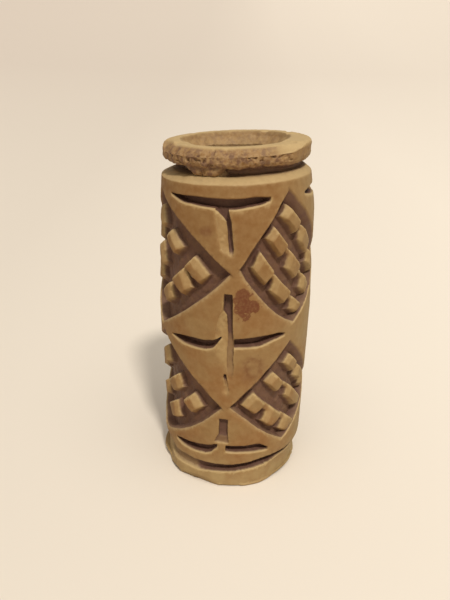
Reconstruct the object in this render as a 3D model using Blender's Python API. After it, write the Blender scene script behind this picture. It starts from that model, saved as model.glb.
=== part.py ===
"""A cylinder seal: one hollow roller of fired clay, 80.5 mm tall, with a wide bore along its axis.

Its outside is cut away to leave three columns of smooth panels. Each column has a half diamond
at the top, a whole diamond in the middle and a half diamond at the bottom. Between two columns
lie two sunken diamond pockets, and each pocket holds nine raised studs. Thin slits are cut in
every panel. A collar, a neck and a loose-looking rim close the top, and a groove runs above the
base. The seal stands on +Z. Angles are in degrees about the axis: 0 faces -Y and 90 faces +X.
"""

import math

import bpy
import numpy as np

MM = 0.001

# Height of the seal to the middle of its sloping top face, and the bore through it.
HEIGHT = 80.5 * MM
BORE_RADIUS = 10.8 * MM
FACETS = 72

# The barrel: height, radius, and how far the hand-rolled wall bows towards +X at that height.
BARREL = np.array(
    [
        (0, 17.0, 0.00),
        (4, 17.2, 0.20),
        (9, 17.4, 0.50),
        (20, 17.55, 0.60),
        (43, 18.1, 0.54),
        (56, 17.8, 0.46),
        (66, 17.55, 0.44),
        (70, 17.1, 0.20),
        (73.6, 16.7, 0.00),
        (80.5, 16.3, 0.00),
    ]
) * MM
WIDEST_BOW = BARREL[4, 2]

# The rim's top face climbs a little towards +X and towards the front, and the base groove with it.
RIM_SLOPE = (0.050, -0.023)
GROOVE_SLOPE = (0.040, 0.0)
LEVEL = (0.0, 0.0)

# Carving depths below the barrel, and the slightly lower tops of the studs.
POCKET_DEPTH = 2.3 * MM
STUD_DROP = 0.25 * MM
SLIT_DEPTH = 2.0 * MM
STEM_DEPTH = 1.3 * MM
CLEAR = 1.5 * MM

CLAY = (0.43, 0.29, 0.15, 1.0)
CLAY_ROUGHNESS = 0.72


def along(heights, column):
    """The barrel's value at these heights: straight between the stations, eased at each one."""
    stations = BARREL[:, 0]
    reach = 1.5 * MM
    samples = [np.interp(np.asarray(heights) + shift, stations, BARREL[:, column])
               for shift in (-reach, 0.0, reach)]
    return sum(samples) / 3


def on_wall(angle, height, depth):
    """World points at these angles and heights, at this depth below the barrel's surface."""
    turn = np.radians(angle)
    radius = along(height, 1) - depth
    bow = along(height, 2) - WIDEST_BOW
    return np.stack([bow + radius * np.sin(turn), -radius * np.cos(turn), height + 0 * turn], axis=-1)


def add_object(name, points, faces):
    mesh = bpy.data.meshes.new(name)
    mesh.from_pydata([tuple(point) for point in points], [], faces)
    mesh.validate()
    obj = bpy.data.objects.new(name, mesh)
    bpy.context.scene.collection.objects.link(obj)
    return obj


def ring(radius, height, slope, bow):
    """One level or sloping ring of points: height rises with x and y by the two slopes."""
    turn = np.linspace(0, 2 * math.pi, FACETS, endpoint=False)
    x = radius * np.sin(turn)
    y = -radius * np.cos(turn)
    return np.stack([x + bow - WIDEST_BOW, y, height + slope[0] * x + slope[1] * y], axis=-1)


def turned_blank():
    """The seal before it is carved: rings joined into a closed tube.

    The rings run up the bowed outside, over the rim, down the straight bore and under the base.
    """
    barrel_heights = np.array([7.6, 12, 17, 23, 29, 35, 41, 47, 53, 59, 64, 68, 71, 72.6]) * MM
    outside = [
        (16.6 * MM, 0.0, LEVEL),
        (17.0 * MM, 0.6 * MM, LEVEL),
        (17.1 * MM, 4.4 * MM, GROOVE_SLOPE),
        (16.0 * MM, 5.0 * MM, GROOVE_SLOPE),
        (16.0 * MM, 6.2 * MM, GROOVE_SLOPE),
        (17.2 * MM, 6.9 * MM, GROOVE_SLOPE),
        *[(along(height, 1), height, LEVEL) for height in barrel_heights],
        (16.3 * MM, 74.0 * MM, RIM_SLOPE),
        (14.4 * MM, 74.9 * MM, RIM_SLOPE),
        (12.9 * MM, 75.2 * MM, RIM_SLOPE),
        (13.1 * MM, 75.7 * MM, RIM_SLOPE),
        (15.5 * MM, 76.4 * MM, RIM_SLOPE),
        (16.3 * MM, 77.3 * MM, RIM_SLOPE),
        (16.4 * MM, 79.7 * MM, RIM_SLOPE),
        (15.9 * MM, HEIGHT, RIM_SLOPE),
    ]
    bore = [
        (BORE_RADIUS + 1.2 * MM, HEIGHT, RIM_SLOPE),
        (BORE_RADIUS, HEIGHT - 1.6 * MM, RIM_SLOPE),
        (BORE_RADIUS, HEIGHT / 2, LEVEL),
        (BORE_RADIUS, 0.5 * MM, LEVEL),
        (BORE_RADIUS + 0.4 * MM, 0.0, LEVEL),
    ]
    rings = [ring(radius, height, slope, along(height, 2)) for radius, height, slope in outside]
    rings += [ring(radius, height, slope, 0.0) for radius, height, slope in bore]
    count = len(rings)
    faces = []
    for lower in range(count):
        upper = (lower + 1) % count
        for step in range(FACETS):
            beside = (step + 1) % FACETS
            faces.append((lower * FACETS + step, lower * FACETS + beside,
                          upper * FACETS + beside, upper * FACETS + step))
    return add_object("cylinder_seal", np.concatenate(rings), faces)


def wrapped_block(columns, inner_depth, outer_depth, taper=1.0):
    """Points and faces of a block wrapped round the barrel.

    A column is (angle, lowest height, highest height) on the unrolled wall. The block fills the
    columns from inner_depth to outer_depth, and taper shrinks its outer face about its middle.
    """
    columns = np.array(columns, float)
    middle = np.array([columns[:, 0].mean(), columns[:, 1:].mean(), columns[:, 1:].mean()])
    outer = middle + (columns - middle) * taper
    points = []
    for (angle, low, high), (far_angle, far_low, far_high) in zip(columns, outer):
        points += [
            on_wall(angle, low, inner_depth),
            on_wall(angle, high, inner_depth),
            on_wall(far_angle, far_high, outer_depth),
            on_wall(far_angle, far_low, outer_depth),
        ]
    last = 4 * (len(columns) - 1)
    faces = [(0, 3, 2, 1), (last, last + 1, last + 2, last + 3)]
    for start in range(0, last, 4):
        for side in range(4):
            near, far = start + side, start + (side + 1) % 4
            faces.append((near, far, far + 4, near + 4))
    return points, faces


def joined(name, blocks):
    """One object that holds these separate blocks, kept out of renders: it cuts or fills."""
    points, faces = [], []
    for block_points, block_faces in blocks:
        first = len(points)
        points += block_points
        faces += [tuple(first + corner for corner in face) for face in block_faces]
    obj = add_object(name, points, faces)
    obj.hide_render = True
    obj.display_type = "WIRE"
    return obj


def pocket_point(corners, bulge, u, v):
    """A place in a pocket: u runs from its left corner to its bottom one, v from left to top.

    The four corners are blended, and each side bows up or down by its own bulge, a parabola.
    """
    left, top, right, bottom = (np.array(corner, float) for corner in corners)
    flat = (1 - u) * (1 - v) * left + u * (1 - v) * bottom + (1 - u) * v * top + u * v * right
    lower_left, upper_right, upper_left, lower_right = bulge
    rise = 4 * u * (1 - u) * ((1 - v) * lower_left + v * upper_right)
    rise += 4 * v * (1 - v) * ((1 - u) * upper_left + u * lower_right)
    return flat + np.array([0.0, rise])


def diamond_columns(corners, bulge, u_range, v_range, steps):
    """Columns that fill the patch of a pocket between these u and v, with blunt end corners."""
    (u0, u1), (v0, v1) = u_range, v_range
    share = np.linspace(0, 1, steps + 1)
    upper = [pocket_point(corners, bulge, u0, v0 + (v1 - v0) * s) for s in share]
    upper += [pocket_point(corners, bulge, u0 + (u1 - u0) * s, v1) for s in share[1:]]
    lower = [pocket_point(corners, bulge, u0 + (u1 - u0) * s, v0) for s in share]
    lower += [pocket_point(corners, bulge, u1, v0 + (v1 - v0) * s) for s in share[1:]]
    upper, lower = np.array(upper), np.array(lower)
    width = upper[-1, 0] - upper[0, 0]
    blunt = 0.02 * width
    angles = np.linspace(upper[0, 0] + blunt, upper[-1, 0] - blunt, 2 * steps + 1)
    low = np.interp(angles, lower[:, 0], lower[:, 1])
    high = np.interp(angles, upper[:, 0], upper[:, 1])
    return np.stack([angles, low * MM, high * MM], axis=-1)


# Each pocket: its left, top, right and bottom corners as (angle, height in mm), the bulge in mm
# of its lower left, upper right, upper left and lower right sides, and where its three bands of
# studs lie across u and across v.
POCKETS = {
    "upper_right": (
        [(2.7, 56.2), (41, 72.6), (99, 55.6), (47.5, 42.2)],
        (-2.0, 0.6, 0.9, -1.0),
        [(0.05, 0.31), (0.35, 0.62), (0.67, 0.93)],
        [(0.06, 0.24), (0.36, 0.54), (0.65, 0.82)],
    ),
    "upper_left": (
        [(-117, 56), (-75, 70.5), (-3.2, 55.1), (-66, 39.0)],
        (-1.0, 0.9, 0.6, -1.2),
        [(0.09, 0.29), (0.37, 0.60), (0.70, 0.92)],
        [(0.15, 0.42), (0.49, 0.73), (0.77, 0.92)],
    ),
    "upper_back": (
        [(106, 55.8), (166, 71.8), (239, 55.8), (172, 41.2)],
        (-1.2, 0.7, 0.6, -1.0),
        [(0.07, 0.30), (0.36, 0.62), (0.68, 0.92)],
        [(0.08, 0.28), (0.38, 0.60), (0.70, 0.91)],
    ),
    "lower_right": (
        [(-2.3, 22.7), (45.5, 38.0), (93, 22.6), (45, 11.1)],
        (-0.8, 0.4, 0.1, -0.8),
        [(0.07, 0.31), (0.38, 0.66), (0.72, 0.96)],
        [(0.09, 0.33), (0.45, 0.64), (0.77, 0.93)],
    ),
    "lower_left": (
        [(-124, 25), (-66.5, 37.4), (-8.6, 22.2), (-69, 9.4)],
        (0.8, 1.0, 0.5, -1.8),
        [(0.10, 0.32), (0.42, 0.64), (0.74, 0.93)],
        [(0.12, 0.34), (0.42, 0.62), (0.70, 0.90)],
    ),
    "lower_back": (
        [(100, 22.5), (168, 37.6), (231.5, 24.6), (166, 10.6)],
        (-0.9, 0.5, 0.4, -0.9),
        [(0.07, 0.30), (0.37, 0.63), (0.69, 0.92)],
        [(0.09, 0.30), (0.39, 0.61), (0.70, 0.91)],
    ),
}

# The three columns of panels: the angle that every slit is measured from, and how much wider or
# narrower than the front column's its slits are.
COLUMNS = [(0.0, 1.0), (102.0, 0.9), (-121.0, 1.0)]

# Slits across a panel: first angle, last angle, height at each end, sag of the middle below them
# and greatest width, in mm.
CROSS_SLITS = [
    (-54, 25, 70.2, 71.2, 0.0, 1.9),
    (-53, -9, 38.0, 39.4, 0.0, 2.0),
    (0.5, 38, 39.6, 40.3, 0.0, 1.9),
    (-51, -13, 9.5, 11.3, 0.0, 1.6),
    (-4, 28.5, 11.4, 10.4, -0.3, 1.6),
]

# Stems down the middle of a panel: angle and height of the top, angle and height of the foot,
# and the width in degrees at each end.
STEMS = [
    (-9.0, 70.2, -3.0, 60.3, 8.0, 3.0),
    (-4.3, 51.0, -3.5, 41.0, 5.4, 5.0),
    (-7.0, 19.5, -7.2, 12.6, 6.0, 7.5),
]


def cross_slit(column, slit):
    """A slit that swells from a point at each end, as half a sine does, and then tapers again."""
    middle, spread = column
    first, last, first_height, last_height, sag, width = slit
    share = np.linspace(0.03, 0.97, max(5, int((last - first) / 6)))
    angle = middle + spread * (first + (last - first) * share)
    line = first_height + (last_height - first_height) * share - sag * np.sin(math.pi * share)
    half = 0.5 * width * np.sin(math.pi * share) ** 0.5
    columns = np.stack([angle, (line - half) * MM, (line + half) * MM], axis=-1)
    return wrapped_block(columns, SLIT_DEPTH, -CLEAR)


def stem(column, cut):
    """A straight stem, cut as a flat-floored notch that runs down the panel."""
    middle, spread = column
    top_angle, top, foot_angle, foot, top_width, foot_width = cut
    points = []
    for depth, grow in ((STEM_DEPTH, 0.6), (-CLEAR, 1.3)):
        for angle, height, width in ((foot_angle, foot, foot_width), (top_angle, top, top_width)):
            for side in (-0.5, 0.5):
                turned = middle + spread * (angle + side * grow * width)
                points.append(on_wall(turned, height * MM, depth))
    faces = [(0, 2, 3, 1), (4, 5, 7, 6), (0, 1, 5, 4), (2, 6, 7, 3), (0, 4, 6, 2), (1, 3, 7, 5)]
    return points, faces


# Two slivers are sheared off the front left of the base: the angles of the two ends of each.
BASE_CHIPS = [(-78, -44), (-44, -8)]


def base_chip(first, last):
    """A wedge whose inner face shears a sliver off the base, along a chord."""
    from_angle, to_angle = math.radians(first), math.radians(last)
    radius = 16.8 * MM
    start = np.array([radius * math.sin(from_angle) - WIDEST_BOW, -radius * math.cos(from_angle)])
    end = np.array([radius * math.sin(to_angle) - WIDEST_BOW, -radius * math.cos(to_angle)])
    chord = (end - start) / np.linalg.norm(end - start)
    outward = np.array([chord[1], -chord[0]])
    start, end = start - 4 * MM * chord, end + 4 * MM * chord
    points = []
    for height, shift in ((-1.0 * MM, -0.5 * MM), (5.0 * MM, 2.5 * MM)):
        for corner, reach in ((start, shift), (end, shift), (end, 9 * MM), (start, 9 * MM)):
            points.append((*(corner + outward * reach), height))
    faces = [(0, 1, 2, 3), (4, 7, 6, 5), (0, 4, 5, 1), (1, 5, 6, 2), (2, 6, 7, 3), (3, 7, 4, 0)]
    return points, faces


def carve(body, name, blocks, operation):
    tool = joined(name, blocks)
    modifier = body.modifiers.new(name, "BOOLEAN")
    modifier.operation = operation
    modifier.solver = "EXACT"
    modifier.object = tool


def clay():
    material = bpy.data.materials.new("fired_clay")
    material.use_nodes = True
    shader = material.node_tree.nodes["Principled BSDF"]
    shader.inputs["Base Color"].default_value = CLAY
    shader.inputs["Roughness"].default_value = CLAY_ROUGHNESS
    shader.inputs["Metallic"].default_value = 0.0
    return material


for leftover in list(bpy.data.objects):
    bpy.data.objects.remove(leftover)

pocket_blocks, stud_blocks = [], []
for corners, bulge, u_bands, v_bands in POCKETS.values():
    outline = diamond_columns(corners, bulge, (0, 1), (0, 1), 8)
    pocket_blocks.append(wrapped_block(outline, POCKET_DEPTH, -CLEAR))
    for u_band in u_bands:
        for v_band in v_bands:
            block = diamond_columns(corners, bulge, u_band, v_band, 1)
            stud_blocks.append(wrapped_block(block, POCKET_DEPTH + 0.5 * MM, STUD_DROP, 0.9))

seal = turned_blank()
carve(seal, "pocket_cutters", pocket_blocks, "DIFFERENCE")
carve(seal, "stud_blocks", stud_blocks, "UNION")
carve(seal, "cross_slit_cutters",
      [cross_slit(column, slit) for column in COLUMNS for slit in CROSS_SLITS], "DIFFERENCE")
carve(seal, "stem_cutters", [stem(column, cut) for column in COLUMNS for cut in STEMS], "DIFFERENCE")
for first, last in BASE_CHIPS:
    carve(seal, "base_chip_cutter", [base_chip(first, last)], "DIFFERENCE")
seal.data.shade_smooth()
seal.data.set_sharp_from_angle(angle=math.radians(25))
seal.data.materials.append(clay())
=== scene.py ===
import math

import bpy
import numpy as np
from mathutils import Matrix


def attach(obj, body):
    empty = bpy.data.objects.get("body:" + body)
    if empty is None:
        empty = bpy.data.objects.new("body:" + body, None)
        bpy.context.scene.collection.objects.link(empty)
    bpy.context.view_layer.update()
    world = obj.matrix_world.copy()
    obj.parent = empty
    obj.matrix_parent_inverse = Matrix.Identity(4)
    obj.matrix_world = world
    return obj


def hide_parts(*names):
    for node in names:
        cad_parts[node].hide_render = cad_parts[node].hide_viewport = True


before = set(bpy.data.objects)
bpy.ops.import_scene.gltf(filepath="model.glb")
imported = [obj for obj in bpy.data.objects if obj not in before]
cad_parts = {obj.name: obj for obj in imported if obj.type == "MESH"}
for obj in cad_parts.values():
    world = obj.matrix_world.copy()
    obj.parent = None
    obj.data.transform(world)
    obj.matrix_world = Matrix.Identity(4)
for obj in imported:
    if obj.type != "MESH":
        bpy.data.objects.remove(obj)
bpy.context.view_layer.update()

# The seal stands on the table at the origin, +Z up. Lengths below are in millimetres and angles
# in degrees about the axis (0 faces -Y, 90 faces +X) until a mesh is made, which is in metres.
MM = 0.001


# The camera
# It is held close and a little above the rim, and looks down at the standing seal. The lens and
# the place come from the ellipses that the rim, the shoulder and the base make in the picture.
CAMERA_PLACE = (-0.54, -142.3, 102.9)
CAMERA_DOWN = 23.21
CAMERA_LEFT = 0.73
CAMERA_ROLL = 1.23
CAMERA_LENS = 38.4
CAMERA_FILM = 36.0
CAMERA_NEAREST = 0.01

camera_data = bpy.data.cameras.new("camera")
camera_data.lens = CAMERA_LENS
camera_data.sensor_width = CAMERA_FILM
camera_data.clip_start = CAMERA_NEAREST
camera = bpy.data.objects.new("camera", camera_data)
bpy.context.scene.collection.objects.link(camera)
camera.matrix_world = (
    Matrix.Translation([length * MM for length in CAMERA_PLACE])
    @ Matrix.Rotation(math.radians(CAMERA_LEFT), 4, "Z")
    @ Matrix.Rotation(math.radians(90 - CAMERA_DOWN), 4, "X")
    @ Matrix.Rotation(math.radians(CAMERA_ROLL), 4, "Z")
)
bpy.context.scene.camera = camera


# The seal's clay blank
# One tube of fine buff clay, rolled by hand on a stick and fired. Its wall swells at mid height and
# bows towards +X, the rim climbs towards +X, and the stick left a straight bore from end to end.

# Height, radius, and how far the wall bows towards +X there.
BARREL = np.array([
    (0, 17.4, 0.10), (4, 17.35, 0.45), (9, 17.4, 0.80), (20, 17.55, 0.75), (43, 18.1, 0.54),
    (56, 17.8, 0.46), (66, 17.55, 0.44), (70, 17.1, 0.20), (73.6, 16.7, 0.00), (80.5, 16.3, 0.00),
])
BOW_AT_WIDEST = 0.54
HEIGHT = 80.5
BORE_RADIUS = 10.8
# How much the rim climbs for each millimetre towards +X and towards +Y.
RIM_SLOPE = (0.050, -0.023)
COLLAR_TOP = 73.3
COLUMNS = 1200
NO_LIMIT = 99.0


def along(height, column):
    """The barrel's value at these heights: straight between stations, averaged over 3 mm."""
    reach = 1.5
    samples = [np.interp(height + shift, BARREL[:, 0], BARREL[:, column]) for shift in (-reach, 0, reach)]
    return sum(samples) / len(samples)


def outline_part(points, bow, slope_share, row_gap):
    """A stretch of the outline: radius, height, bow, share of the rim's slope and gap between rows.

    The last three are one value for the whole stretch, or one for each of its points.
    """
    points = np.array(points, float)
    fill = np.ones(len(points))
    return np.stack([points[:, 0], points[:, 1], bow * fill, slope_share * fill, row_gap * fill], axis=1)


# The outline runs out under the base, up the wall, into the neck, over the rim and down the bore.
wall_heights = np.arange(0.7, COLLAR_TOP, 0.5)
outline_parts = [
    outline_part([(11.2, 0), (17.15, 0), (17.4, 0.15)], 0.1, 0.0, 0.3),
    outline_part(np.stack([along(wall_heights, 1), wall_heights], axis=1),
                 along(wall_heights, 2), np.clip((wall_heights - 60) / 13, 0, 1), 0.09),
    outline_part([(16.64, 73.55), (14.6, 74.7), (13.4, 74.95), (12.8, 75.15), (13.0, 75.4)],
                 np.array([0.0, 0.7, 1.2, 1.3, 1.2]), 1.0, 0.09),
    outline_part([(15.2, 75.95), (16.2, 76.7), (16.5, 77.4), (16.5, 79.3), (16.3, 80.0),
                  (15.8, HEIGHT - 0.12), (15.2, HEIGHT)], np.array([0.4, 0.1, 0, 0, 0, 0, 0]), 1.0, 0.09),
    outline_part([(11.3, HEIGHT), (10.95, HEIGHT - 0.2), (BORE_RADIUS, HEIGHT - 0.6)], 0.0, 1.0, 0.15),
    outline_part([(BORE_RADIUS, 66)], 0.0, 0.6, 0.25),
    outline_part([(BORE_RADIUS, 40), (BORE_RADIUS, 0.5), (10.95, 0.15)], 0.0, 0.0, 1.0),
]
outline = np.concatenate(outline_parts + [outline_parts[0][:1]])
arc = np.concatenate([[0], np.cumsum(np.hypot(*np.diff(outline[:, :2], axis=0).T))])
part_starts = arc[np.cumsum([0] + [len(part) for part in outline_parts[:-1]])]

# Walk the outline in fine steps, round its corners over EASE, and set the rows closer where the
# carving is fine.
FINE_STEP = 0.02
EASE = 0.18
fine_arc = np.arange(0, arc[-1], FINE_STEP)
fine = np.stack([np.interp(fine_arc, arc, outline[:, column]) for column in range(5)], axis=1)
window = np.ones(int(EASE / FINE_STEP))
window /= len(window)
edge = len(window)
for column in range(5):
    looped = np.concatenate([fine[-edge:, column], fine[:, column], fine[:edge, column]])
    looped = np.convolve(np.convolve(looped, window, "same"), window, "same")
    fine[:, column] = looped[edge:-edge]
passed = np.concatenate([[0], np.cumsum(FINE_STEP / fine[:-1, 4])])
ROWS = int(passed[-1])
row_arc = np.interp(np.arange(ROWS) * passed[-1] / ROWS, passed, fine_arc)
row_radius, row_height, row_bow, row_slope = (
    np.interp(row_arc, fine_arc, fine[:, column])[:, None].astype(np.float32) for column in range(4)
)
tangent = np.gradient(np.stack([fine[:, 0], fine[:, 1]], axis=1), axis=0)
tangent /= np.linalg.norm(tangent, axis=1, keepdims=True)
out_radius = np.interp(row_arc, fine_arc, tangent[:, 1])[:, None].astype(np.float32)
out_height = np.interp(row_arc, fine_arc, -tangent[:, 0])[:, None].astype(np.float32)

angle = np.linspace(-180, 180, COLUMNS, endpoint=False, dtype=np.float32)[None, :]
turn = np.radians(angle)


def placed(depth, radius_limit=NO_LIMIT, height_limit=NO_LIMIT):
    """Points of the seal: the outline turned about the axis, sunk along its own normal by a depth.

    Nothing reaches past the limits in radius and height, which shear and break its edges off.
    """
    radius = np.minimum(row_radius - depth * out_radius, radius_limit)
    height = np.minimum(row_height - depth * out_height, height_limit)
    x, y = radius * np.sin(turn), -radius * np.cos(turn)
    height = height + row_slope * (RIM_SLOPE[0] * x + RIM_SLOPE[1] * y)
    return np.stack([x + row_bow - BOW_AT_WIDEST, y, height], axis=-1).astype(np.float32)


def mottle(points, cell, seed):
    """Smooth random values from -1 to 1: seeded corners of a cubic lattice, eased between corners."""
    scaled = points / np.float32(cell)
    low = np.floor(scaled.reshape(-1, 3).min(axis=0))
    scaled = scaled - low
    corner = np.floor(scaled).astype(np.int32)
    share = scaled - corner
    share = share * share * (3 - 2 * share)
    size = corner.reshape(-1, 3).max(axis=0) + 2
    lattice = np.random.default_rng(seed).uniform(-1, 1, size).astype(np.float32)
    total = np.zeros(points.shape[:-1], np.float32)
    for step in np.ndindex(2, 2, 2):
        weight = np.prod(np.where(step, share, 1 - share), axis=-1)
        total += weight * lattice[tuple(corner[..., axis] + step[axis] for axis in range(3))]
    return total


def eased(value, low, high):
    """0 below low, 1 above high, and a smooth S between; falls instead of rises where high < low."""
    share = np.clip((value - low) / (high - low), 0, 1)
    return share * share * (3 - 2 * share)


def between(value, low, high, soft):
    """A smooth window: 1 from low to high, and 0 beyond a soft edge outside each."""
    return eased(value, low - soft, low) * eased(value, high + soft, high)


def soft_max(first, second, blend):
    """The greater of the two, with the crease between them rounded over this blend."""
    near = np.clip(1 - np.abs(first - second) / blend, 0, 1)
    return np.maximum(first, second) + blend * near * near / 4


def soft_min(first, second, blend):
    """The lesser of the two, with the crease between them rounded over this blend."""
    return -soft_max(-first, -second, blend)


# The rolled wall dips in broad swells and in smaller ripples, by up to these depths.
SWELL = 0.14
RIPPLE = 0.05
blank = placed(np.float32(0))
swell = 0.5 + 0.5 * mottle(blank, 17.0, 3)
ripple = 0.5 + 0.5 * mottle(blank, 5.0, 4)
depth = SWELL * swell + RIPPLE * ripple
outside = (row_arc >= part_starts[1]) & (row_arc < part_starts[4])
depth *= outside[:, None]

# The wall's own rows: everything from the base edge to the collar is carved as seen unrolled. The
# hand that cuts it strays by up to WANDER over 3 mm, and trembles by up to TREMBLE over 1 mm.
WANDER = 0.14
TREMBLE = 0.05
wall_rows = np.nonzero((row_arc >= part_starts[1]) & (row_arc < part_starts[2]))[0]
wall = slice(wall_rows[0], wall_rows[-1] + 1)
WALL_RADIUS = 17.7
MM_PER_DEGREE = math.radians(1) * WALL_RADIUS
wander_across = WANDER * mottle(blank[wall], 3.2, 5) + TREMBLE * mottle(blank[wall], 1.1, 6)
wander_up = WANDER * mottle(blank[wall], 3.2, 7) + TREMBLE * mottle(blank[wall], 1.1, 8)
cut_angle = angle + wander_across / MM_PER_DEGREE
cut_height = blank[wall][..., 2] + wander_up


# The pockets and their studs
# Two rings of sunken diamonds were cut out between the panels once the clay was leather hard. In
# each, wide channels were pushed one way and notches the other, which left eight or nine studs.
POCKET_FLOOR = 2.3
POCKET_LIP = 0.25
LIP_REACH = 1.1
SIDE_WALL = 9.0
LOW_WALL = 7.0
CREASE = 0.12
NOTCH = 1.2
FACET_WIDTH = 1.5

# Each pocket: its corners left, top, right, bottom as (angle, height), the bulge of its lower left,
# upper right, upper left and lower right sides, the slope of its far wall, and its studs.
# The studs stand in rows. "along" runs down a row from 0 at the near wall to 1 at the far corner,
# and "over" runs from row to row, from 0 at the pocket's lower side to 1 at its far wall.
# Each stud is (first along, last along, first over, last over).
BACK_STUDS = [
    (first, last, low, high)
    for first, last in ((0.07, 0.31), (0.37, 0.62), (0.70, 0.94))
    for low, high in ((0.10, 0.27), (0.41, 0.58), (0.70, 0.86))
]
POCKETS = {
    "upper_right": (
        [(2.7, 56.2), (41, 72.6), (96, 55.6), (47.5, 42.2)], (-2.0, 0.6, 0.9, -1.0), 0.85,
        [(0.10, 0.32, 0.14, 0.28), (0.36, 0.64, 0.15, 0.27), (0.73, 0.96, 0.15, 0.26),
         (0.075, 0.31, 0.445, 0.565), (0.38, 0.63, 0.43, 0.56), (0.75, 0.97, 0.43, 0.54),
         (0.085, 0.33, 0.735, 0.85), (0.39, 0.67, 0.74, 0.85), (0.72, 0.97, 0.71, 0.81)],
    ),
    "upper_left": (
        [(-121, 56), (-75, 70.5), (-3.2, 55.1), (-73, 38.4)], (-1.0, 1.4, 0.6, -1.6), 4.0,
        [(0.13, 0.26, 0.11, 0.28), (0.28, 0.46, 0.13, 0.28), (0.55, 0.75, 0.17, 0.29),
         (0.18, 0.31, 0.43, 0.60), (0.49, 0.63, 0.49, 0.66), (0.71, 0.88, 0.46, 0.64),
         (0.25, 0.39, 0.75, 0.92), (0.46, 0.62, 0.75, 0.90), (0.70, 0.86, 0.75, 0.90)],
    ),
    "upper_back": (
        [(106, 55.8), (166, 71.8), (235, 55.8), (172, 41.2)], (-1.2, 0.7, 0.6, -1.0), 2.0, BACK_STUDS,
    ),
    "lower_right": (
        [(-2.3, 22.7), (45.5, 38.0), (93, 22.6), (45, 11.1)], (-0.8, 0.4, 0.1, -0.8), 0.9,
        [(0.11, 0.32, 0.12, 0.28), (0.39, 0.65, 0.11, 0.29), (0.75, 0.98, 0.14, 0.32),
         (0.12, 0.33, 0.49, 0.60), (0.47, 0.90, 0.52, 0.63),
         (0.19, 0.40, 0.79, 0.89), (0.47, 0.70, 0.79, 0.89), (0.76, 0.95, 0.79, 0.89)],
    ),
    "lower_left": (
        [(-124, 25), (-66.5, 37.4), (-8.6, 22.2), (-80, 8.8)], (0.3, 1.0, 0.5, -2.5), 4.0,
        [(0.15, 0.30, 0.12, 0.25), (0.46, 0.68, 0.13, 0.27),
         (0.21, 0.44, 0.38, 0.49), (0.57, 0.76, 0.38, 0.50), (0.84, 0.94, 0.38, 0.50),
         (0.22, 0.41, 0.68, 0.82), (0.48, 0.68, 0.68, 0.82), (0.75, 0.92, 0.68, 0.82)],
    ),
    "lower_back": (
        [(100, 22.5), (168, 37.6), (231.5, 24.6), (166, 10.6)], (-0.9, 0.5, 0.4, -0.9), 2.0, BACK_STUDS,
    ),
}


def pocket_coordinates(corners, bulge, across, up):
    """Where places lie in a pocket: u from its left corner to its bottom one, v from left to top.

    The pocket blends its four corners, and each side bows by its bulge times 4t(1 - t). Newton's
    steps undo that sum. Also gives the lengths of the gradients of u and v, per millimetre. Places so
    far outside that the steps don't settle get u = -0.3.
    """
    left, top, right, bottom = (np.array(corner) * (MM_PER_DEGREE, 1) for corner in corners)
    lower_left, upper_right, upper_left, lower_right = bulge
    to_bottom, to_top, twist = bottom - left, top - left, left + right - bottom - top
    u = np.full(across.shape, 0.5)
    v = np.full(across.shape, 0.5)
    for _ in range(9):
        along_u = (1 - v) * lower_left + v * upper_right
        along_v = (1 - u) * upper_left + u * lower_right
        miss_x = left[0] + u * to_bottom[0] + v * to_top[0] + u * v * twist[0] - across
        miss_z = left[1] + u * to_bottom[1] + v * to_top[1] + u * v * twist[1] - up
        miss_z += 4 * u * (1 - u) * along_u + 4 * v * (1 - v) * along_v
        x_u = to_bottom[0] + v * twist[0]
        x_v = to_top[0] + u * twist[0]
        z_u = to_bottom[1] + v * twist[1] + 4 * (1 - 2 * u) * along_u
        z_u += 4 * v * (1 - v) * (lower_right - upper_left)
        z_v = to_top[1] + u * twist[1] + 4 * (1 - 2 * v) * along_v
        z_v += 4 * u * (1 - u) * (upper_right - lower_left)
        spread = x_u * z_v - x_v * z_u
        u = np.clip(u - (miss_x * z_v - miss_z * x_v) / spread, -0.3, 1.3)
        v = np.clip(v - (miss_z * x_u - miss_x * z_u) / spread, -0.3, 1.3)
    u = np.where(np.hypot(miss_x, miss_z) < 0.01, u, -0.3)
    return u, v, np.hypot(z_v, x_v) / np.abs(spread), np.hypot(z_u, x_u) / np.abs(spread)


def side_cut(inside, lip, steepness):
    """Depth by the distance inside one side of a pocket: a sloping lip outside it, then the wall."""
    return lip * np.clip(1 + inside / LIP_REACH, 0, 1) + steepness * np.maximum(inside, 0)


def stud_depth(near_side, far_side, low_side, high_side, top, facet_fall):
    """Depth of one stud from the distances inside its four sides.

    The top slopes down by facet_fall over a facet's width to the near side. The near and high sides
    are steep, the far side looks into the next notch, and the low side runs out into its channel.
    Each side falls by its steepness times the distance outside it.
    """
    near_steep, far_steep, low_steep = 5.0, 4.0, 1.7
    corner, worn, worn_low = 0.7, 0.15, 0.25
    sloped = top + facet_fall * (1 - near_side / FACET_WIDTH)
    sunk = soft_max(top, sloped, 0.10)
    sunk = soft_max(sunk, top - near_steep * soft_min(near_side, high_side, corner), worn)
    sunk = soft_max(sunk, top - far_steep * soft_min(far_side, high_side, corner), worn)
    return soft_max(sunk, top - low_steep * soft_min(low_side, 0.6 * far_side + 0.2, corner), worn_low)


rng = np.random.default_rng(11)
pocket_depth = np.zeros(cut_height.shape, np.float32)
pocket_bare = np.zeros(cut_height.shape, np.float32)
facet_highlights = np.zeros(cut_height.shape, np.float32)

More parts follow.
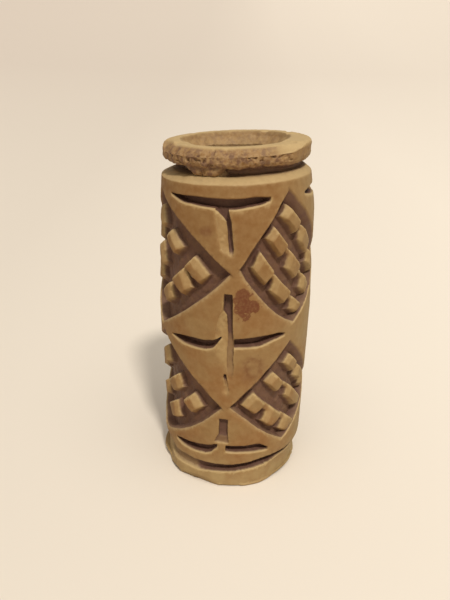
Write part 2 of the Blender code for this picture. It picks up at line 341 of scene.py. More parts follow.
# The floors are marked by the tool, and the studs' tops and sides are uneven, by so much.
floor_marks = 0.16 * mottle(blank[wall], 1.3, 9) + 0.08 * mottle(blank[wall], 0.5, 10)
uneven = 0.22 * mottle(blank[wall], 1.9, 12) + 0.10 * mottle(blank[wall], 0.7, 13)
for name, (corners, bulge, far_slope, studs) in POCKETS.items():
    corner_angles = [corner[0] for corner in corners]
    middle = (min(corner_angles) + max(corner_angles)) / 2
    turned = (cut_angle - middle + 180) % 360 - 180 + middle
    near = np.nonzero(
        (turned > min(corner_angles) - 6) & (turned < max(corner_angles) + 6)
        & (cut_height > corners[3][1] - 3) & (cut_height < corners[1][1] + 3)
    )
    u, v, per_u, per_v = pocket_coordinates(
        corners, bulge, turned[near] * MM_PER_DEGREE, cut_height[near]
    )
    # On the left the rows run down from the upper right wall, and elsewhere from the upper left one.
    if name.endswith("left"):
        along_row, over, per_along, per_over = 1 - v, 1 - u, per_v, per_u
    else:
        along_row, over, per_along, per_over = u, v, per_u, per_v
    hollow = POCKET_FLOOR + floor_marks[near]
    for inside, lip, steepness in (
        (along_row / per_along, 0.0, SIDE_WALL), ((1 - along_row) / per_along, 0.0, SIDE_WALL),
        (over / per_over, POCKET_LIP, LOW_WALL), ((1 - over) / per_over, 0.0, far_slope),
    ):
        hollow = soft_min(hollow, side_cut(inside, lip, steepness), CREASE)
    pocket_bare[near] = np.maximum(pocket_bare[near], hollow)
    for first, last, low, high in studs:
        tilt = rng.uniform(-0.05, 0.05, 2)
        top = rng.uniform(0.15, 0.35) + 0.4 * uneven[near]
        fall = rng.uniform(0.55, 0.9)
        near_side = (along_row - first) / per_along + uneven[near]
        far_side = (last - along_row) / per_along + uneven[near]
        low_side = (over - low) / per_over + uneven[near]
        high_side = (high - over) / per_over
        tilted = top + tilt[0] * near_side + tilt[1] * low_side
        # The notches were pushed in from the low side, so the studs narrow that way.
        narrowing = np.clip((high - over) / (high - low), 0, 1)
        far_side = far_side - (0.8 if name.endswith("left") else 0.3) * narrowing
        if first > 0.2 and not name.endswith("left"):
            # A low saddle is left at the head of the notch above this stud.
            saddle = (along_row - first) / per_along + 1.6, 0.6 - (along_row - first) / per_along
            head = (over - high + 0.35 * (high - low)) / per_over
            hollow = soft_min(hollow, stud_depth(*saddle, head, high_side, 1.0, 0.0), CREASE)
        if first > 0.2:
            near_side = near_side - NOTCH * narrowing
        stud = stud_depth(near_side, far_side, low_side, high_side, tilted, fall)
        # Painted highlight: the facet strip along the stud's near side, paled later in the colour.
        facet_highlight = eased(near_side, 1.6, 1.2) * eased(near_side, -0.2, 0.1) * (stud < hollow - 0.3)
        facet_highlights[near] = np.maximum(facet_highlights[near], facet_highlight)
        hollow = soft_min(hollow, stud, CREASE)
    pocket_depth[near] = np.maximum(pocket_depth[near], hollow)


# The slits and stems of the panels
# Each panel was split with a pointed blade: curved cuts across it and a stem down its middle. Every
# cut has a steep upper side and a slightly worn lower lip. The back columns repeat the front one.

# The three columns of panels: the angle of the middle, how wide the cuts are against the front's,
# the angle from the middle where the lower cuts begin, and how much higher the cuts sit.
PANEL_COLUMNS = [(0.0, 1.0, -60, 0.0), (102.0, 0.8, -24, 0.7), (-121.0, 1.0, -60, 0.0)]

# Upper edge and lower edge of each cut as (angle, height), and its depth.
CROSS_SLITS = [
    ([(-54, 70.4), (-35, 70.9), (-10, 70.9), (0, 71.1), (15, 71.4), (25, 71.3)],
     [(-54, 70.0), (-48, 69.6), (-40, 69.2), (-20, 68.9), (-5, 68.8), (10, 69.4), (18, 69.8), (25, 70.5)],
     2.3),
    ([(-52, 38.0), (-47, 38.5), (-40, 38.9), (-20, 39.3), (-13, 39.7), (-9, 40.7)],
     [(-52, 37.8), (-48, 37.3), (-40, 36.8), (-30, 36.7), (-20, 37.0), (-14, 37.6), (-9, 40.4)], 2.3),
    ([(0, 40.1), (10, 40.4), (20, 40.6), (30, 40.8), (36, 40.7), (39, 40.2)],
     [(0, 37.9), (12, 37.9), (18, 38.2), (25, 38.8), (39, 39.7)], 2.2),
    ([(-51, 9.7), (-45, 10.3), (-30, 10.8), (-20, 11.3), (-15, 11.7), (-12, 12.1)],
     [(-51, 9.1), (-45, 8.75), (-35, 8.5), (-20, 8.9), (-16, 9.7), (-12, 11.4)], 1.9),
    ([(-5, 11.9), (10, 11.8), (18, 11.95), (22, 11.9), (26, 11.1), (29.5, 10.2)],
     [(-5, 10.1), (10, 9.85), (20, 9.6), (29.5, 9.5)], 1.9),
]

# Height, outer angle of the chamfer, the stem's two edges, depth of the chamfer and of the stem.
STEMS = [
    [(70.0, -17, -16, -5, 0.2, 2.0), (68.6, -15.5, -14.5, -5, 0.3, 1.9),
     (67.4, -15, -10, -4.3, 0.7, 1.9), (66.4, -14.5, -7.2, -3.5, 0.9, 1.8),
     (63.0, -12.8, -6, -2.3, 0.8, 1.5), (60.6, -10.5, -4.8, -1.3, 0.6, 1.1),
     (59.0, -7, -4, -2, 0.0, 0.0)],
    [(50.7, -7.8, -7.6, -2.2, 0.0, 0.0), (50.4, -8, -7.8, -1.6, 0.0, 1.8),
     (46.8, -8.6, -8, -1.4, 0.2, 1.8), (45.6, -11, -5.4, -1.2, 0.7, 1.5),
     (43.0, -13, -4.8, -1.0, 0.8, 1.3), (41.2, -14, -4.4, -0.7, 0.9, 1.1),
     (39.6, -14, -4.6, -0.2, 0.7, 0.88), (36.5, -13, -5, 0, 0.4, 0.60),
     (33.0, -9, -5, 0, 0.2, 0.40), (29.5, -6, -4, -1, 0.0, 0.0)],
    [(31.3, -7.4, -7.2, -5.6, 0.0, 0.0), (30.5, -8, -7.6, -5.2, 0.1, 1.2),
     (29.6, -7.8, -6.6, -4.4, 0.2, 0.4), (27.0, -7.6, -5.6, -3.0, 0.3, 0.3),
     (24.8, -6, -5, -4, 0.0, 0.0)],
    [(19.3, -10.7, -10.5, -3.7, 0.0, 0.0), (19.0, -10.8, -10.6, -3.5, 0.0, 1.1),
     (15.0, -10.8, -10.6, -3.5, 0.0, 1.0), (14.3, -12, -12, -3.2, 0.0, 0.5),
     (12.9, -14, -14, -2.6, 0.0, 0.4), (12.5, -14, -14, -2.6, 0.0, 0.0)],
]
UPPER_SIDE = 9
LOWER_SIDE = 7
STEM_SIDE = 8
SLIT_LIP = 0.2
LIP_WIDTH = 0.35
SCRAPE_MARKS = 0.12


def eased_line(points, angles):
    """Height of a hand-cut edge at these angles: straight between its points, averaged over 4 degrees."""
    points = np.array(points, float)
    reach = 2.0
    samples = [np.interp(angles + shift, points[:, 0], points[:, 1]) for shift in (-reach, 0, reach)]
    return sum(samples) / len(samples)


def slit_depth(angles, heights, upper, lower, deepest):
    """Depth of a slit: steep under its upper edge, less steep over its lower one, with a worn lip.

    Each side falls by its steepness times the distance inside its edge, down to the deepest.
    """
    first, last = upper[0][0], upper[-1][0]
    ends = between(angles, first, last, 0.8)
    over = (eased_line(upper, angles) - heights) + 3 * (ends - 1)
    under = (heights - eased_line(lower, angles)) + 3 * (ends - 1)
    cut = np.minimum(np.minimum(UPPER_SIDE * over, LOWER_SIDE * under), deepest)
    lip = SLIT_LIP * np.clip(1 + under / LIP_WIDTH, 0, 1) * ends * eased(over, -0.3, 0.1)
    return np.maximum(np.maximum(cut, 0), lip)


def stem_depth(angles, heights, stations):
    """Depth of a stem, and the share of scraped chamfer there.

    The chamfer slopes in from the left and drops to the floor, and the right side is steep. Edges and
    depths are straight between the stations.
    """
    stations = np.array(sorted(stations), float)
    chamfer_edge, left_edge, right_edge, chamfer, floor = (
        np.interp(heights, stations[:, 0], stations[:, column], left=0, right=0) for column in range(1, 6)
    )
    from_left = (angles - left_edge) * MM_PER_DEGREE
    from_right = (right_edge - angles) * MM_PER_DEGREE
    share = np.clip((angles - chamfer_edge) / np.maximum(left_edge - chamfer_edge, 0.1), 0, 1)
    slope = np.minimum(0.3 + 0.7 * share, 4 * share) * chamfer
    cut = np.minimum(slope + np.clip(LOWER_SIDE * from_left, 0, None), np.maximum(floor, slope))
    cut = np.maximum(np.minimum(cut, STEM_SIDE * from_right), 0)
    return cut, eased(slope, 0.05, 0.25) * eased(cut, chamfer + 0.4, chamfer) * (cut > 0)


slits = np.zeros(cut_height.shape, np.float32)
scraped = np.zeros(cut_height.shape, np.float32)
for middle, spread, lower_start, lift in PANEL_COLUMNS:
    turned = ((cut_angle - middle + 180) % 360 - 180) / spread
    near = np.nonzero((turned > -60) & (turned < 45))
    begun = eased(turned[near], lower_start, lower_start + 2)
    for order, slit in enumerate(CROSS_SLITS):
        cut = slit_depth(turned[near], cut_height[near] - lift, *slit) * (1 if order == 0 else begun)
        slits[near] = np.maximum(slits[near], cut)
    for stem in STEMS:
        cut, scrape = stem_depth(turned[near], cut_height[near] - lift, stem)
        scraped[near] = np.maximum(scraped[near], scrape * (cut > slits[near]))
        slits[near] = np.maximum(slits[near], cut)
slits += scraped * SCRAPE_MARKS * mottle(blank[wall], 0.6, 14)


# The groove above the base
# A blade was turned round the foot while the seal stood. It bit deep and sharp at the front and on
# the right, and skidded wide and shallow over the front left.

# Angle, height of the upper edge, height of the lower edge and depth.
GROOVE = np.array([
    (-180, 6.6, 4.7, 1.3), (-125, 6.5, 4.4, 1.2), (-105, 6.5, 4.0, 0.6), (-70, 6.4, 3.8, 0.5),
    (-55, 6.5, 3.4, 0.7), (-30, 6.3, 3.4, 0.8), (-22, 6.2, 3.8, 1.4), (-10, 6.3, 4.1, 1.9),
    (0, 6.5, 4.3, 2.0), (10, 6.9, 4.6, 2.0), (20, 7.3, 5.0, 2.0), (30, 7.7, 5.4, 2.0),
    (40, 7.7, 5.6, 1.9), (50, 7.4, 5.6, 1.7), (65, 7.1, 5.6, 1.0), (90, 6.9, 5.2, 1.2),
    (180, 6.6, 4.7, 1.3),
])
groove_top, groove_foot, groove_floor = (
    np.interp(cut_angle, GROOVE[:, 0], GROOVE[:, column]) for column in range(1, 4)
)
# Its lower side is as steep as the upper where the blade bit, and nearly level where it skidded.
groove_steep = 8
foot_steep = 1 + 5 * eased(groove_floor, 0.8, 1.7)
groove = np.minimum(groove_steep * (groove_top - cut_height), foot_steep * (cut_height - groove_foot))
groove = np.maximum(np.minimum(groove, groove_floor), 0)

# The blend of uncut with uncut would sink the whole wall by a quarter of itself, which is taken off.
GROOVE_BLEND = 0.1
carved = soft_max(np.maximum(pocket_depth, slits), groove, GROOVE_BLEND) - GROOVE_BLEND / 4
depth[wall] += np.maximum(carved, 0)


# The broken rim, neck and base edge
# Grit and damp clay tore out of the rim's underside when the neck was cut, mostly at the front. The
# neck is partly filled with crumbs at the front left, and two slivers have sheared off the foot.
TORN_LUMPS = 0.75
TORN_HOLES = 0.5
TORN_AT_BACK = 0.3

# The broken surface is lumps of three sizes, from 0 to about 1, with holes where grit fell out.
lumps = 0.5 + 0.35 * mottle(blank, 2.4, 21) + 0.25 * mottle(blank, 1.0, 22)
lumps += 0.1 * mottle(blank, 0.45, 23)
holes = eased(mottle(blank, 1.2, 29) + 0.4 * mottle(blank, 0.5, 30), 0.35, 0.8)

# The rim is torn below the lip line, which drops on the right, and over its top at the front.
lip_line = 79.9 + 0.3 * mottle(blank, 3.0, 24) - 0.9 * eased(angle, 10, 45)
lip_soft = 0.35
front = between(angle, -75, 30, 25)
rim_rows = ((row_arc >= part_starts[2]) & (row_arc < part_starts[4]))[:, None]
torn = eased(row_height, lip_line + lip_soft, lip_line - lip_soft)
torn = np.maximum(torn, eased(angle, 50, 20) * front * eased(row_radius, 13.5, 14.5))
torn = torn * eased(row_height, 75.0, 75.5) * rim_rows * (TORN_AT_BACK + (1 - TORN_AT_BACK) * front)
depth += torn * (TORN_LUMPS * lumps + TORN_HOLES * holes)

# Crumbs stand out of the neck's inner wall in a heap, and lie thinly on the shoulder below it.
filled = between(angle, -38, -20, 10) * rim_rows
neck_filled = filled * between(row_height, 75.05, 75.8, 0.3)
depth -= neck_filled * (0.9 + 1.3 * lumps - 0.6 * holes)
depth -= 0.35 * filled * between(row_height, 74.4, 75.0, 0.4) * lumps

# Where each sliver came off: the angles of its two ends, and its flat face leans out as it rises.
SLIVERS = [(-78.0, -44.0), (-44.0, -8.0)]
FOOT_RADIUS = 16.95
FACE_LEAN = 0.6
FACE_REACH = 0.3
FACE_UNEVEN = 0.2
radius_limit = np.full(depth.shape, NO_LIMIT, np.float32)
outer_rows = (row_arc < part_starts[2])[:, None] & (row_radius > 12)
foot_rows = (row_height < 8) & outer_rows
for first, last in SLIVERS:
    facing = np.cos(np.radians(angle - (first + last) / 2))
    chord = FOOT_RADIUS * math.cos(math.radians(last - first) / 2)
    face = chord + FACE_LEAN * row_height + FACE_UNEVEN * mottle(blank, 2.2, 25)
    sheared = face / np.maximum(facing, FACE_REACH)
    sheared = np.where(foot_rows & (facing > FACE_REACH), sheared, NO_LIMIT)
    radius_limit = np.minimum(radius_limit, sheared)

# The foot is worn in on the left and on the right, by these depths.
WORN_LEFT = 1.3
WORN_RIGHT = 0.9
worn_foot = WORN_LEFT * between(angle, -160, -72, 25) + WORN_RIGHT * between(angle, 48, 150, 25)
depth += worn_foot * eased(row_height, 8.5, 4.6) * outer_rows

# Fine unevenness of the fired skin, and small knocks along the sharp edges.
SKIN = 0.05
KNOCK = 0.3
skin = 0.03 * mottle(blank, 1.0, 26) + 0.02 * mottle(blank, 0.5, 27) + SKIN
knocks = between(row_height, HEIGHT - 0.4, HEIGHT + 0.2, 0.25) + between(row_height, -0.2, 0.5, 0.5)
knocks = knocks * eased(mottle(blank, 1.9, 28), 0.25, 0.8) * (row_radius > 12)
depth += skin + KNOCK * knocks

# The bore's upper edge is rubbed down at the front and has crumbled away along the back. Below, edge
# reach is how far that damage reaches out from the bore, and edge fall how deep it goes at the bore.
# Where nothing is damaged, the limit stands SPARE above the top.
SPARE = 0.3
worn_front = eased(np.abs(angle), 85, 45)
crumbled = eased(np.abs(angle), 62, 135)
edge_reach = 0.3 + 1.1 * worn_front + 2.1 * crumbled + 0.7 * between(angle, -110, -80, 25)
edge_fall = 0.55 * worn_front + 2.6 * crumbled
fallen = np.clip((BORE_RADIUS + edge_reach - row_radius) / edge_reach, 0, 1)
fallen = fallen * (row_radius < BORE_RADIUS + 4)
height_limit = HEIGHT + SPARE - SPARE * eased(fallen, 0.0, 0.1) - edge_fall * fallen
height_limit -= 0.9 * crumbled * lumps * eased(fallen, 0, 0.3)

# The rim's outer edge is rubbed down in a round slope at the front, which is torn on the left.
RUB_FALL = 1.8
rim_head = row_height > 76
rubbed = between(angle, -80, 45, 35) * np.clip((row_radius - 12.8) / 2.8, 0, 1)
height_limit -= RUB_FALL * rubbed * rubbed + SPARE * (rubbed > 0)
torn_slope = eased(rubbed, 0.35, 0.7) * between(angle, -90, -2, 22) * rim_rows * rim_head
height_limit -= torn_slope * (0.55 * lumps + 0.55 * holes - 0.2)
height_limit = np.where(rim_head, height_limit, NO_LIMIT)

# Inside, the upper bore is rough where the clay broke away from the stick.
BORE_ROUGH = 0.6
bore_rows = (row_arc >= part_starts[4])[:, None]
bore_rough = between(np.abs(angle), 60, 140, 25) * bore_rows * between(row_height, 68, 75, 1.4)
depth += bore_rough * BORE_ROUGH * lumps

points = placed(depth, radius_limit, height_limit) * MM


# The seal as one mesh
# The seal is one piece of clay, so its rows and columns close into one skin. It carries the marks
# that the finish needs, and is thinned where it is flat, so that its triangles follow the carving.
MOST_TRIANGLES = 196_000
CREASED = 60


def blurred(field, rows, columns):
    """The mean over a block of this many rows and columns each way, going round the seal."""
    padded = np.concatenate([field[:, -columns - 1:], field, field[:, :columns]], axis=1)
    total = np.cumsum(padded, axis=1, dtype=np.float64)
    field = (total[:, 2 * columns + 1:] - total[:, :-2 * columns - 1]) / (2 * columns + 1)
    padded = np.concatenate([field[-rows - 1:], field, field[:rows]], axis=0)
    total = np.cumsum(padded, axis=0)
    return (total[2 * rows + 1:] - total[:-2 * rows - 1]) / (2 * rows + 1)


# How deep each place lies in a cut or a pocket, and how far a stud stands over its pocket's floor, in
# millimetres. The other marks are shares from 0 to 1.
cut, pocket, stud = np.zeros((3, *depth.shape), np.float32)
cut[wall] = np.maximum(slits * (1 - scraped), groove * np.clip(groove_floor / 1.5, 0, 1))
pocket[wall] = pocket_bare
stud[wall] = pocket_bare - pocket_depth
# The neck band: painted shadow under the rim, with dirt, except where crumbs fill it.
neck_dirt_and_shadow = 0.85 * between(row_height, 74.9, 75.8, 0.25) * rim_rows * (1 - filled)

# A place stands proud by how much less it is sunk than the mean round it, and pits are the opposite.
# The pits are darkened by dirt and painted shade.
proud = blurred(depth, 5, 5) - depth
pits_dirt_and_shade = np.clip(-proud / 0.3 - 0.15, 0, 1) * outside[:, None] * (1 - 0.3 * torn)
crumble = np.maximum(torn, np.maximum(filled * (row_height < 76), 0.8 * bore_rough))
crumble = np.maximum(crumble, 0.6 * crumbled * eased(fallen, 0, 0.2))
crumble = np.maximum(crumble, 0.9 * torn_slope)

# Dust and painted light pale what looks up, by the upright part of the surface's normal, and the upper
# bore, and less what broke later. Wear and painted highlights lie on what stands proud, wear on the
# stems' chamfers, and painted highlights on the studs' facets.
round_step = np.roll(points, -1, axis=1) - np.roll(points, 1, axis=1)
row_step = np.roll(points, -1, axis=0) - np.roll(points, 1, axis=0)
normal = np.cross(round_step, row_step)
upright = blurred(normal[..., 2] / np.maximum(np.linalg.norm(normal, axis=-1), 1e-12), 1, 1)
dust_and_painted_light = eased(upright, 0.05, 0.75) * np.where(row_height < 76, 0.85, 1.0)
dust_and_painted_light = np.maximum(dust_and_painted_light, 0.9 * bore_rows * eased(row_height, 62, 72))
dust_and_painted_light = dust_and_painted_light * (1 - 0.7 * crumbled * eased(fallen, 0, 0.15))
dust_and_painted_light = dust_and_painted_light * (1 - 0.85 * torn) * (1 - 0.6 * torn_slope)
# Wear with painted highlights on proud edges that do not face down.
wear_and_highlight = np.clip(proud / 0.25, 0, 1) * eased(upright, -0.2, 0.3) * outside[:, None]
wear_and_highlight[wall] = np.maximum(wear_and_highlight[wall], np.maximum(0.6 * scraped, 0.5 * facet_highlights))


def oval(middle_angle, middle_height, wide, tall):
    """How far each place lies from the middle of an oval on the wall: 1 on its line, less inside."""
    across = (angle - middle_angle) * MM_PER_DEGREE / wide
    return np.hypot(across, (row_height - middle_height) / tall)


# A red-brown stain of two ovals beside the middle stem, a faint ring under it and a faint spot above.
stain = np.minimum(oval(5.8, 48.6, 2.2, 3.7), oval(12.5, 47.8, 1.9, 1.7))
stain = np.minimum(stain, 3)
ring_away = np.abs(oval(14, 33, 2.0, 2.8) - 0.8) + 0.4 * mottle(blank, 0.8, 33)
faint = np.maximum(eased(ring_away, 0.35, 0.1), 0.9 * eased(oval(-21, 64, 1.7, 1.2), 1.1, 0.7))
faint = np.maximum(faint, 0.5 * eased(oval(14, 32, 4.0, 4.5), 1.1, 0.5)) * outside[:, None]

# Each face joins two rows and two columns, and the last row and column join the first.
row = np.arange(ROWS)[:, None] * COLUMNS
next_row = (np.arange(ROWS)[:, None] + 1) % ROWS * COLUMNS
column = np.arange(COLUMNS)[None, :]
next_column = (column + 1) % COLUMNS
quads = np.stack([row + column, row + next_column, next_row + next_column, next_row + column], axis=-1)


def grid_mesh(name, points, quads):
    """A mesh of these points and four-sided faces, filled from whole arrays."""
    mesh = bpy.data.meshes.new(name)
    points, quads = points.reshape(-1, 3), quads.reshape(-1, 4)
    mesh.vertices.add(len(points))
    mesh.vertices.foreach_set("co", points.astype(np.float32).ravel())
    mesh.loops.add(quads.size)
    mesh.loops.foreach_set("vertex_index", quads.astype(np.int32).ravel())
    mesh.polygons.add(len(quads))
    mesh.polygons.foreach_set("loop_start", np.arange(0, quads.size, 4, dtype=np.int32))
    mesh.update(calc_edges=True)
    return mesh


dense = grid_mesh("seal_dense", points, quads)
marks = {
    "cut": cut, "pocket": pocket, "stud": stud, "neck_dirt_and_shadow": neck_dirt_and_shadow, "wear_and_highlight": wear_and_highlight, "pits_dirt_and_shade": pits_dirt_and_shade,
    "crumble": crumble, "stain": stain, "faint": faint, "dust_and_painted_light": dust_and_painted_light,
}
for name, field in marks.items():
    layer = dense.attributes.new(name, "FLOAT", "POINT")
    layer.data.foreach_set("value", np.broadcast_to(field, depth.shape).astype(np.float32).ravel())
dense_object = bpy.data.objects.new("seal_dense", dense)
bpy.context.scene.collection.objects.link(dense_object)
dense_faces = 2 * quads.shape[0] * quads.shape[1]
thin = dense_object.modifiers.new("thin", "DECIMATE")
thin.decimate_type = "COLLAPSE"
thin.ratio = MOST_TRIANGLES / dense_faces
graph = bpy.context.evaluated_depsgraph_get()
seal_mesh = bpy.data.meshes.new_from_object(dense_object.evaluated_get(graph))
seal_mesh.name = "carved_seal"
bpy.data.objects.remove(dense_object)
bpy.data.meshes.remove(dense)
seal_mesh.shade_smooth()
seal_mesh.set_sharp_from_angle(angle=math.radians(CREASED))
seal = bpy.data.objects.new("carved_seal", seal_mesh)
bpy.context.scene.collection.objects.link(seal)


# The fired clay
# Buff earthenware, burnished on the wall and fired warmer in patches, never glazed. Dirt and painted
# shade darken the cuts and pockets purple-brown, dust and painted light pale what looks up, and red-brown
# stains have sunk in.
BUFF = (0.262, 0.150, 0.054, 1)
WARM = (0.240, 0.114, 0.034, 1)
RUDDY = (0.215, 0.100, 0.027, 1)
# Painted shade with dirt for the cuts, near black.
CUT_DIRT_AND_SHADE = (0.120, 0.060, 0.038, 1)
PALE = (0.46, 0.32, 0.14, 1)
# Dust with painted light, for what looks up.
DUST_AND_PAINTED_LIGHT = (0.50, 0.36, 0.175, 1)
PALE_FOOT = (0.37, 0.26, 0.115, 1)
# Painted light, for the right side.
PAINTED_RIGHT_LIGHT = (0.33, 0.255, 0.118, 1)
# Dirt with painted shade, for the pockets, the neck and the pits.
DIRT_AND_SHADE = (0.128, 0.062, 0.042, 1)
GRIT = (0.34, 0.21, 0.098, 1)
# Painted shade for the small hollows of the breaks.
HOLLOW_SHADE = (0.150, 0.074, 0.042, 1)
STAIN = (0.140, 0.043, 0.014, 1)

clay = bpy.data.materials.new("fired_clay_finish")
clay.use_nodes = True
nodes, links = clay.node_tree.nodes, clay.node_tree.links
shader = nodes["Principled BSDF"]
coordinates = nodes.new("ShaderNodeTexCoord").outputs["Object"]


def noise(width, detail=3.0, roughness=0.55):
    """Cloudy noise with blotches about this many millimetres wide."""
    made = nodes.new("ShaderNodeTexNoise")
    made.inputs["Scale"].default_value = 1 / (width * MM)
    made.inputs["Detail"].default_value = detail
    made.inputs["Roughness"].default_value = roughness
    links.new(coordinates, made.inputs["Vector"])
    return made.outputs["Fac"]


def stretched(value, low, high, to_low=0.0, to_high=1.0):
    """The value taken from one range to another, and held at its ends."""
    made = nodes.new("ShaderNodeMapRange")
    made.inputs["From Min"].default_value = low
    made.inputs["From Max"].default_value = high
    made.inputs["To Min"].default_value = to_low
    made.inputs["To Max"].default_value = to_high
    links.new(value, made.inputs["Value"])
    return made.outputs["Result"]


def joined(first, second, kind="MULTIPLY"):
    """The two values multiplied and held between 0 and 1, or joined by another named operation."""
    made = nodes.new("ShaderNodeMath")
    made.operation = kind
    made.use_clamp = kind == "MULTIPLY"
    for socket, value in zip(made.inputs, (first, second)):
        if isinstance(value, float):
            socket.default_value = value
        else:
            links.new(value, socket)
    return made.outputs["Value"]


def mark(name):
    """A mark carried by the seal's own points."""
    made = nodes.new("ShaderNodeAttribute")
    made.attribute_name = name
    return made.outputs["Fac"]


def mix_inputs(made):
    """The colour sockets of a Mix node, which share their names with its number sockets."""
    return [socket for socket in made.inputs if socket.type == "RGBA"]


def painted_colour(share, under, over):
    """One colour laid over another by a share from 0 to 1."""
    made = nodes.new("ShaderNodeMix")
    made.data_type = "RGBA"
    links.new(share, made.inputs[0])
    for socket, colour in zip(mix_inputs(made), (under, over)):
        if isinstance(colour, tuple):
            socket.default_value = colour
        else:
            links.new(colour, socket)
    return next(socket for socket in made.outputs if socket.type == "RGBA")


def patchy(share, width, least, most):
    """A share that comes and goes in blotches this wide: times a value from least to most."""
    return joined(share, stretched(noise(width), 0.3, 0.6, least, most))


# The clay: buff with warm clouds, ruddier in the upper half, paler at the foot, and paler on the right
# as painted light from that side.
place = nodes.new("ShaderNodeSeparateXYZ")
links.new(coordinates, place.inputs["Vector"])
upper = stretched(place.outputs["Z"], 36 * MM, 62 * MM, 0.0, 0.8)
foot = stretched(place.outputs["Z"], 10 * MM, 3 * MM, 0.0, 0.8)
right = stretched(place.outputs["X"], 8 * MM, 17 * MM, 0.0, 0.5)
colour = painted_colour(stretched(noise(7.0, 4.0), 0.40, 0.62), BUFF, WARM)
colour = painted_colour(patchy(upper, 9.0, 0.4, 1.0), colour, RUDDY)
colour = painted_colour(patchy(foot, 4.0, 0.3, 1.0), colour, PALE_FOOT)
# Painted light: paler towards the right side.
colour = painted_colour(patchy(right, 5.0, 0.4, 1.0), colour, PAINTED_RIGHT_LIGHT)
colour = painted_colour(stretched(noise(1.6, 3.0), 0.35, 0.75, 0.0, 0.2), colour, PALE)

# Rubbed edges with painted highlights, gritty breaks with painted shade in their small hollows, and
# dust with painted light.
# Wear with painted highlights, on edges and facets.
colour = painted_colour(joined(mark("wear_and_highlight"), stretched(noise(1.2), 0.3, 0.7, 0.3, 0.9)), colour, PALE)
colour = painted_colour(joined(mark("crumble"), stretched(noise(0.6), 0.35, 0.65)), colour, GRIT)
# Painted shade: dark patches, placed by noise, for the shade in the breaks' small hollows.
painted_hollow_shade = joined(mark("crumble"), stretched(noise(1.3), 0.46, 0.62, 0.0, 0.85))
colour = painted_colour(painted_hollow_shade, colour, HOLLOW_SHADE)
# Dust with painted light: paler the more the surface looks up.
colour = painted_colour(joined(mark("dust_and_painted_light"), stretched(noise(1.0), 0.25, 0.75, 0.75, 1.0)), colour, DUST_AND_PAINTED_LIGHT)

# The stains: a faint one, and one whose edge is made ragged by up to 0.4 of its own size.
colour = painted_colour(patchy(mark("faint"), 1.2, 0.15, 0.6), colour, STAIN)
ragged = joined(stretched(noise(1.0, 4.0), 0.3, 0.7, -0.4, 0.4), mark("stain"), "ADD")
colour = painted_colour(patchy(stretched(ragged, 1.0, 0.85), 0.5, 0.65, 1.0), colour, STAIN)

# Dirt and painted shade: in the pockets from 0.1 to 0.5 mm down but not on the studs, in the neck under
# the rim, darkest in the cuts, and in the pits.
sunk = joined(stretched(mark("pocket"), 0.1, 0.5), stretched(mark("stud"), 1.35, 0.7))
sunk = joined(sunk, mark("neck_dirt_and_shadow"), "MAXIMUM")
colour = painted_colour(joined(sunk, stretched(noise(1.5), 0.25, 0.7, 1.0, 0.72)), colour, DIRT_AND_SHADE)
# Painted shade with dirt: the deeper the cut, the darker.
colour = painted_colour(stretched(mark("cut"), 0.06, 0.7), colour, CUT_DIRT_AND_SHADE)
colour = painted_colour(joined(mark("pits_dirt_and_shade"), 0.7), colour, DIRT_AND_SHADE)
links.new(colour, shader.inputs["Base Color"])

# It is dull, a little less so in patches, and its grain is too fine for the mesh.
GRAIN_WIDTH = 0.35
GRAIN_DEPTH = 0.06
links.new(stretched(noise(2.0), 0.3, 0.7, 0.62, 0.8), shader.inputs["Roughness"])
shader.inputs["Specular IOR Level"].default_value = 0.3
bump = nodes.new("ShaderNodeBump")
bump.inputs["Distance"].default_value = GRAIN_DEPTH * MM
bump.inputs["Strength"].default_value = 0.6
links.new(noise(GRAIN_WIDTH, 5.0, 0.65), bump.inputs["Height"])
links.new(bump.outputs["Normal"], shader.inputs["Normal"])
seal_mesh.materials.clear()
seal_mesh.materials.append(clay)

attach(seal, "root")
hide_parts("cylinder_seal")


# The table
# A plain pale matt surface, with painted shade making it a little greyer on the left and far away. Far
# from the seal it curves up like a shallow dish, so that it fills the background as one even sheet and
# shows no horizon.
FLOOR_HOLE = 0.002
FLOOR_FLAT = 0.6
FLOOR_EDGE = 3.0
FLOOR_RISE = 0.05
CREAM = (0.833, 0.763, 0.659, 1)
# The table's colour in painted shade, on the left and far behind.
CREAM_IN_PAINTED_SHADE = (0.683, 0.619, 0.532, 1)
FAR_SHADE = (0.60, 0.525, 0.45, 1)

# Rings of points round a small hole under the bore, lifted by the square of the distance past the
# flat part.
floor_rings, floor_spokes = 60, 96
reach = np.linspace(FLOOR_HOLE, FLOOR_EDGE, floor_rings)[:, None]
spoke = np.linspace(0, 2 * math.pi, floor_spokes, endpoint=False)[None, :]
lift = FLOOR_RISE * np.maximum(reach - FLOOR_FLAT, 0) ** 2
floor_points = np.stack([reach * np.cos(spoke), reach * np.sin(spoke), lift + 0 * spoke], axis=-1)
ring_start = np.arange(floor_rings - 1)[:, None] * floor_spokes
beside = (np.arange(floor_spokes) + 1) % floor_spokes
here = np.arange(floor_spokes)
floor_quads = np.stack([
    ring_start + here, ring_start + floor_spokes + here,
    ring_start + floor_spokes + beside, ring_start + beside,
], axis=-1)
floor_mesh = grid_mesh("table", floor_points, floor_quads)
floor_mesh.shade_smooth()
floor = bpy.data.objects.new("table", floor_mesh)
bpy.context.scene.collection.objects.link(floor)
table_cream = bpy.data.materials.new("table_cream")
table_cream.use_nodes = True
nodes, links = table_cream.node_tree.nodes, table_cream.node_tree.links
table_shader = nodes["Principled BSDF"]
coordinates = nodes.new("ShaderNodeTexCoord").outputs["Object"]
apart = nodes.new("ShaderNodeSeparateXYZ")
links.new(coordinates, apart.inputs["Vector"])
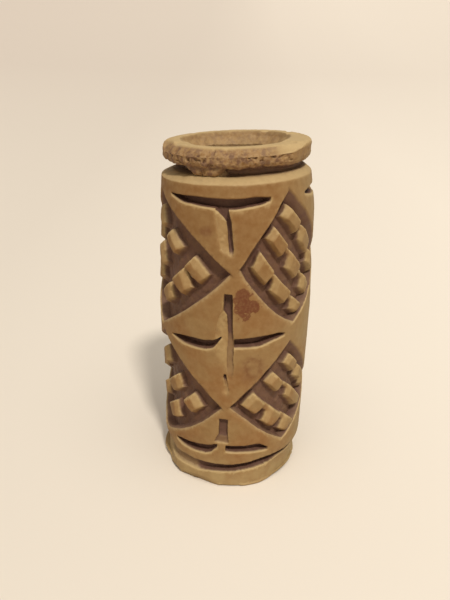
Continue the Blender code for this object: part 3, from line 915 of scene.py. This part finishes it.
# Painted light and shade: it grows paler from left to right past the seal, and greyer far behind it,
# most on the left.
painted_light_across = stretched(apart.outputs["X"], -0.11, 0.13)
behind = stretched(apart.outputs["Y"], 0.05, 1.2)
painted_far_shade = joined(behind, stretched(apart.outputs["X"], 0.4, -0.8, 0.45, 1.0))
colour = painted_colour(painted_far_shade, painted_colour(painted_light_across, CREAM_IN_PAINTED_SHADE, CREAM), FAR_SHADE)
links.new(colour, table_shader.inputs["Base Color"])
table_shader.inputs["Roughness"].default_value = 0.75
table_shader.inputs["Specular IOR Level"].default_value = 0.2
floor_mesh.materials.append(table_cream)


# The light
# A warm far lamp stands in front, high and a little to the right, so the shadow falls behind to the
# left. A broad soft window hangs over it, higher still, and a pale warm room fills the rest.
LAMP_TURN = 17.0
LAMP_HEIGHT = 55.0
LAMP_WIDTH = 6.0
LAMP_POWER = 2.05
WINDOW_TURN = 10.0
WINDOW_HEIGHT = 74.0
WINDOW_WIDTH = 55.0
WINDOW_POWER = 1.25
LIGHT_COLOUR = (1.0, 0.95, 0.88)
ROOM_COLOUR = (1.0, 0.94, 0.86, 1)
ROOM_POWER = 0.29
# Where the lamps hang makes no difference to parallel light.
HUNG_AT = (0.2, -0.6, 0.8)


def far_light(name, turn, height, width, power):
    """A lamp so far away that its light is parallel, turned from -Y towards +X and raised, in degrees."""
    data = bpy.data.lights.new(name, "SUN")
    data.angle = math.radians(width)
    data.energy = power
    data.color = LIGHT_COLOUR
    made = bpy.data.objects.new(name, data)
    bpy.context.scene.collection.objects.link(made)
    made.matrix_world = (
        Matrix.Translation(HUNG_AT)
        @ Matrix.Rotation(math.radians(turn), 4, "Z")
        @ Matrix.Rotation(math.radians(90 - height), 4, "X")
    )


far_light("lamp", LAMP_TURN, LAMP_HEIGHT, LAMP_WIDTH, LAMP_POWER)
far_light("window", WINDOW_TURN, WINDOW_HEIGHT, WINDOW_WIDTH, WINDOW_POWER)
world = bpy.data.worlds.new("room")
world.use_nodes = True
world.node_tree.nodes["Background"].inputs["Color"].default_value = ROOM_COLOUR
world.node_tree.nodes["Background"].inputs["Strength"].default_value = ROOM_POWER
bpy.context.scene.world = world
bpy.context.scene.view_settings.view_transform = "Standard"
